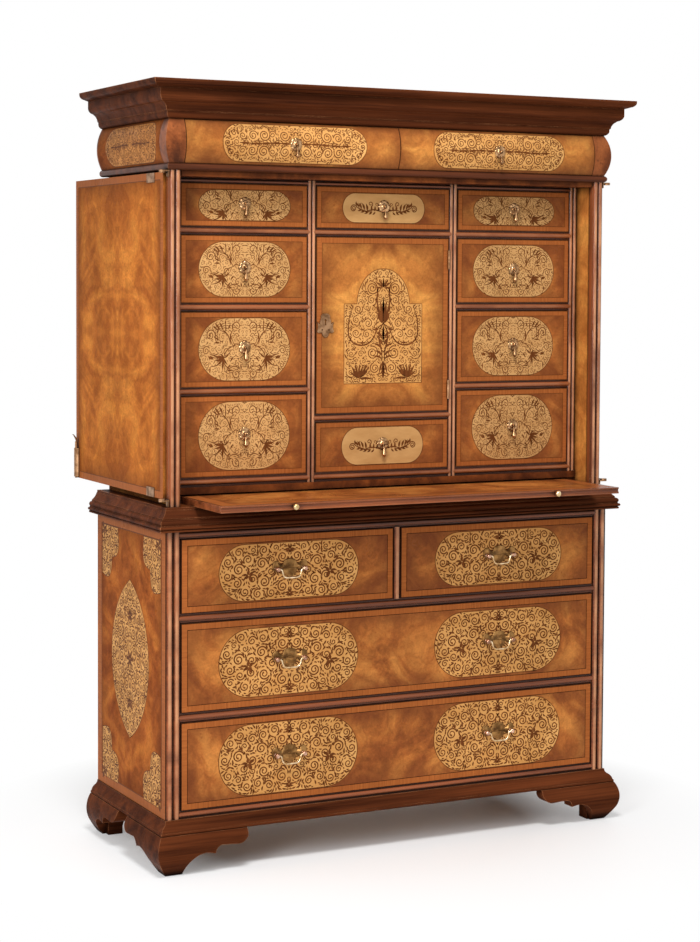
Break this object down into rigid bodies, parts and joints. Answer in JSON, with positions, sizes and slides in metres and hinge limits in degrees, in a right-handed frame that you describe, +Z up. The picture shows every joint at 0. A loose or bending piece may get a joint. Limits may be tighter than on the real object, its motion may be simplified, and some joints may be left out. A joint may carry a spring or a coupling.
{
  "type": "cabinet on chest",
  "caption": "Walnut marquetry cabinet on chest: doors folded back, nest of drawers round a cupboard, pull-out writing slide, cushion frieze drawers, chest of drawers below.",
  "frame": {"origin": "centre of the bounding box on the floor, under the middle of the case", "axes": "+Z up, +X to the right seen from the front, +Y to the back, so the drawers open towards -Y"},
  "size_m": [1.186, 0.725, 1.6694],
  "materials": {
    "dark_walnut": "waxed dark walnut",
    "walnut_veneer": "waxed walnut veneer laid across the grain",
    "marquetry_veneer": "waxed walnut veneer with scroll marquetry",
    "inner_wood": "plain unpolished inner wood",
    "antique_brass": "antique brass"
  },
  "bodies": {
    "root": {"bracket_feet": "dark_walnut", "base_moulding": "dark_walnut", "waist_moulding": "dark_walnut", "chest_sides": "marquetry_veneer", "chest_front_frame": "walnut_veneer", "chest_boards": "inner_wood", "back_boards": "inner_wood", "cabinet_boards": "walnut_veneer", "cabinet_sides": "walnut_veneer", "cabinet_stiles": "walnut_veneer", "nest_uprights": "walnut_veneer", "nest_shelves": "walnut_veneer", "case_hinge_plates": "antique_brass", "frieze_case": "marquetry_veneer", "cornice": "dark_walnut", "cornice_top_board": "inner_wood"},
    "short_drawer_left": {"short_drawer_left": "marquetry_veneer"},
    "short_bail_left": {"short_bail_left": "antique_brass"},
    "short_drawer_right": {"short_drawer_right": "marquetry_veneer"},
    "short_bail_right": {"short_bail_right": "antique_brass"},
    "long_drawer_upper": {"long_drawer_upper": "marquetry_veneer"},
    "long_bail_upper_left": {"long_bail_upper_left": "antique_brass"},
    "long_bail_upper_right": {"long_bail_upper_right": "antique_brass"},
    "long_drawer_lower": {"long_drawer_lower": "marquetry_veneer"},
    "long_bail_lower_left": {"long_bail_lower_left": "antique_brass"},
    "long_bail_lower_right": {"long_bail_lower_right": "antique_brass"},
    "nest_drawer_right_1": {"nest_drawer_right_1": "marquetry_veneer"},
    "nest_drop_right_1": {"nest_drop_right_1": "antique_brass"},
    "nest_drawer_left_1": {"nest_drawer_left_1": "marquetry_veneer"},
    "nest_drop_left_1": {"nest_drop_left_1": "antique_brass"},
    "nest_drawer_right_2": {"nest_drawer_right_2": "marquetry_veneer"},
    "nest_drop_right_2": {"nest_drop_right_2": "antique_brass"},
    "nest_drawer_left_2": {"nest_drawer_left_2": "marquetry_veneer"},
    "nest_drop_left_2": {"nest_drop_left_2": "antique_brass"},
    "nest_drawer_right_3": {"nest_drawer_right_3": "marquetry_veneer"},
    "nest_drop_right_3": {"nest_drop_right_3": "antique_brass"},
    "nest_drawer_left_3": {"nest_drawer_left_3": "marquetry_veneer"},
    "nest_drop_left_3": {"nest_drop_left_3": "antique_brass"},
    "nest_drawer_right_4": {"nest_drawer_right_4": "marquetry_veneer"},
    "nest_drop_right_4": {"nest_drop_right_4": "antique_brass"},
    "nest_drawer_left_4": {"nest_drawer_left_4": "marquetry_veneer"},
    "nest_drop_left_4": {"nest_drop_left_4": "antique_brass"},
    "nest_drawer_centre_low": {"nest_drawer_centre_low": "marquetry_veneer"},
    "nest_drop_centre_low": {"nest_drop_centre_low": "antique_brass"},
    "nest_drawer_centre_top": {"nest_drawer_centre_top": "marquetry_veneer"},
    "nest_drop_centre_top": {"nest_drop_centre_top": "antique_brass"},
    "frieze_drawer_left": {"frieze_drawer_left": "marquetry_veneer"},
    "frieze_drop_left": {"frieze_drop_left": "antique_brass"},
    "frieze_drawer_right": {"frieze_drawer_right": "marquetry_veneer"},
    "frieze_drop_right": {"frieze_drop_right": "antique_brass"},
    "cupboard_door": {"cupboard_door": "marquetry_veneer", "cupboard_fittings": "antique_brass"},
    "writing_slide": {"writing_slide": "walnut_veneer", "slide_knobs": "antique_brass"},
    "left_door": {"left_door": "marquetry_veneer", "left_door_hinges": "antique_brass", "door_bolt_case": "antique_brass"},
    "right_door": {"right_door": "marquetry_veneer", "right_door_hinges": "antique_brass"},
    "door_bolt": {"door_bolt_rod": "antique_brass"}
  },
  "joints": [
    {"name": "left_door_hinge", "type": "hinge", "parent": "root", "child": "left_door", "pos_m": [-0.553, -0.1895, 1.13735], "axis": [0, 0, -1], "range_deg": [-270, 0]},
    {"name": "right_door_hinge", "type": "hinge", "parent": "root", "child": "right_door", "pos_m": [0.553, -0.1895, 1.13735], "axis": [0, 0, 1], "range_deg": [-270, 0]},
    {"name": "writing_slide_travel", "type": "slide", "parent": "root", "child": "writing_slide", "axis": [0, -1, 0], "range_m": [-0.13, 0.11]},
    {"name": "cupboard_door_hinge", "type": "hinge", "parent": "root", "child": "cupboard_door", "pos_m": [0.1662, -0.1335, 1.1562], "axis": [0, 0, 1], "range_deg": [0, 90]},
    {"name": "door_bolt_throw", "type": "slide", "parent": "left_door", "child": "door_bolt", "axis": [0, 0, -1], "range_m": [0, 0.01]},
    {"name": "short_drawer_left_slide", "type": "slide", "parent": "root", "child": "short_drawer_left", "axis": [0, -1, 0], "range_m": [0, 0.28]},
    {"name": "short_drawer_right_slide", "type": "slide", "parent": "root", "child": "short_drawer_right", "axis": [0, -1, 0], "range_m": [0, 0.28]},
    {"name": "long_drawer_upper_slide", "type": "slide", "parent": "root", "child": "long_drawer_upper", "axis": [0, -1, 0], "range_m": [0, 0.28]},
    {"name": "long_drawer_lower_slide", "type": "slide", "parent": "root", "child": "long_drawer_lower", "axis": [0, -1, 0], "range_m": [0, 0.28]},
    {"name": "nest_drawer_right_1_slide", "type": "slide", "parent": "root", "child": "nest_drawer_right_1", "axis": [0, -1, 0], "range_m": [0, 0.22]},
    {"name": "nest_drawer_left_1_slide", "type": "slide", "parent": "root", "child": "nest_drawer_left_1", "axis": [0, -1, 0], "range_m": [0, 0.22]},
    {"name": "nest_drawer_right_2_slide", "type": "slide", "parent": "root", "child": "nest_drawer_right_2", "axis": [0, -1, 0], "range_m": [0, 0.22]},
    {"name": "nest_drawer_left_2_slide", "type": "slide", "parent": "root", "child": "nest_drawer_left_2", "axis": [0, -1, 0], "range_m": [0, 0.22]},
    {"name": "nest_drawer_right_3_slide", "type": "slide", "parent": "root", "child": "nest_drawer_right_3", "axis": [0, -1, 0], "range_m": [0, 0.22]},
    {"name": "nest_drawer_left_3_slide", "type": "slide", "parent": "root", "child": "nest_drawer_left_3", "axis": [0, -1, 0], "range_m": [0, 0.22]},
    {"name": "nest_drawer_right_4_slide", "type": "slide", "parent": "root", "child": "nest_drawer_right_4", "axis": [0, -1, 0], "range_m": [0, 0.22]},
    {"name": "nest_drawer_left_4_slide", "type": "slide", "parent": "root", "child": "nest_drawer_left_4", "axis": [0, -1, 0], "range_m": [0, 0.22]},
    {"name": "nest_drawer_centre_low_slide", "type": "slide", "parent": "root", "child": "nest_drawer_centre_low", "axis": [0, -1, 0], "range_m": [0, 0.22]},
    {"name": "nest_drawer_centre_top_slide", "type": "slide", "parent": "root", "child": "nest_drawer_centre_top", "axis": [0, -1, 0], "range_m": [0, 0.22]},
    {"name": "frieze_drawer_left_slide", "type": "slide", "parent": "root", "child": "frieze_drawer_left", "axis": [0, -1, 0], "range_m": [0, 0.24]},
    {"name": "frieze_drawer_right_slide", "type": "slide", "parent": "root", "child": "frieze_drawer_right", "axis": [0, -1, 0], "range_m": [0, 0.24]},
    {"name": "short_bail_left_swing", "type": "hinge", "parent": "short_drawer_left", "child": "short_bail_left", "pos_m": [-0.2625, -0.2145, 0.63575], "axis": [-1, 0, 0], "range_deg": [0, 85]},
    {"name": "short_bail_right_swing", "type": "hinge", "parent": "short_drawer_right", "child": "short_bail_right", "pos_m": [0.2625, -0.2145, 0.63575], "axis": [-1, 0, 0], "range_deg": [0, 85]},
    {"name": "long_bail_upper_left_swing", "type": "hinge", "parent": "long_drawer_upper", "child": "long_bail_upper_left", "pos_m": [-0.2625, -0.2145, 0.441], "axis": [-1, 0, 0], "range_deg": [0, 85]},
    {"name": "long_bail_upper_right_swing", "type": "hinge", "parent": "long_drawer_upper", "child": "long_bail_upper_right", "pos_m": [0.2625, -0.2145, 0.441], "axis": [-1, 0, 0], "range_deg": [0, 85]},
    {"name": "long_bail_lower_left_swing", "type": "hinge", "parent": "long_drawer_lower", "child": "long_bail_lower_left", "pos_m": [-0.2625, -0.2145, 0.23125], "axis": [-1, 0, 0], "range_deg": [0, 85]},
    {"name": "long_bail_lower_right_swing", "type": "hinge", "parent": "long_drawer_lower", "child": "long_bail_lower_right", "pos_m": [0.2625, -0.2145, 0.23125], "axis": [-1, 0, 0], "range_deg": [0, 85]},
    {"name": "nest_drop_right_1_swing", "type": "hinge", "parent": "nest_drawer_right_1", "child": "nest_drop_right_1", "pos_m": [0.33825, -0.139, 0.92345], "axis": [-1, 0, 0], "range_deg": [0, 80]},
    {"name": "nest_drop_left_1_swing", "type": "hinge", "parent": "nest_drawer_left_1", "child": "nest_drop_left_1", "pos_m": [-0.33825, -0.139, 0.92345], "axis": [-1, 0, 0], "range_deg": [0, 80]},
    {"name": "nest_drop_right_2_swing", "type": "hinge", "parent": "nest_drawer_right_2", "child": "nest_drop_right_2", "pos_m": [0.33825, -0.139, 1.1102], "axis": [-1, 0, 0], "range_deg": [0, 80]},
    {"name": "nest_drop_left_2_swing", "type": "hinge", "parent": "nest_drawer_left_2", "child": "nest_drop_left_2", "pos_m": [-0.33825, -0.139, 1.1102], "axis": [-1, 0, 0], "range_deg": [0, 80]},
    {"name": "nest_drop_right_3_swing", "type": "hinge", "parent": "nest_drawer_right_3", "child": "nest_drop_right_3", "pos_m": [0.33825, -0.139, 1.28245], "axis": [-1, 0, 0], "range_deg": [0, 80]},
    {"name": "nest_drop_left_3_swing", "type": "hinge", "parent": "nest_drawer_left_3", "child": "nest_drop_left_3", "pos_m": [-0.33825, -0.139, 1.28245], "axis": [-1, 0, 0], "range_deg": [0, 80]},
    {"name": "nest_drop_right_4_swing", "type": "hinge", "parent": "nest_drawer_right_4", "child": "nest_drop_right_4", "pos_m": [0.33825, -0.139, 1.4197], "axis": [-1, 0, 0], "range_deg": [0, 80]},
    {"name": "nest_drop_left_4_swing", "type": "hinge", "parent": "nest_drawer_left_4", "child": "nest_drop_left_4", "pos_m": [-0.33825, -0.139, 1.4197], "axis": [-1, 0, 0], "range_deg": [0, 80]},
    {"name": "nest_drop_centre_low_swing", "type": "hinge", "parent": "nest_drawer_centre_low", "child": "nest_drop_centre_low", "pos_m": [0, -0.139, 0.89145], "axis": [-1, 0, 0], "range_deg": [0, 80]},
    {"name": "nest_drop_centre_top_swing", "type": "hinge", "parent": "nest_drawer_centre_top", "child": "nest_drop_centre_top", "pos_m": [0, -0.139, 1.4197], "axis": [-1, 0, 0], "range_deg": [0, 80]},
    {"name": "frieze_drop_left_swing", "type": "hinge", "parent": "frieze_drawer_left", "child": "frieze_drop_left", "pos_m": [-0.2532, -0.215, 1.54515], "axis": [-1, 0, 0], "range_deg": [0, 80]},
    {"name": "frieze_drop_right_swing", "type": "hinge", "parent": "frieze_drawer_right", "child": "frieze_drop_right", "pos_m": [0.2532, -0.215, 1.54515], "axis": [-1, 0, 0], "range_deg": [0, 80]}
  ]
}
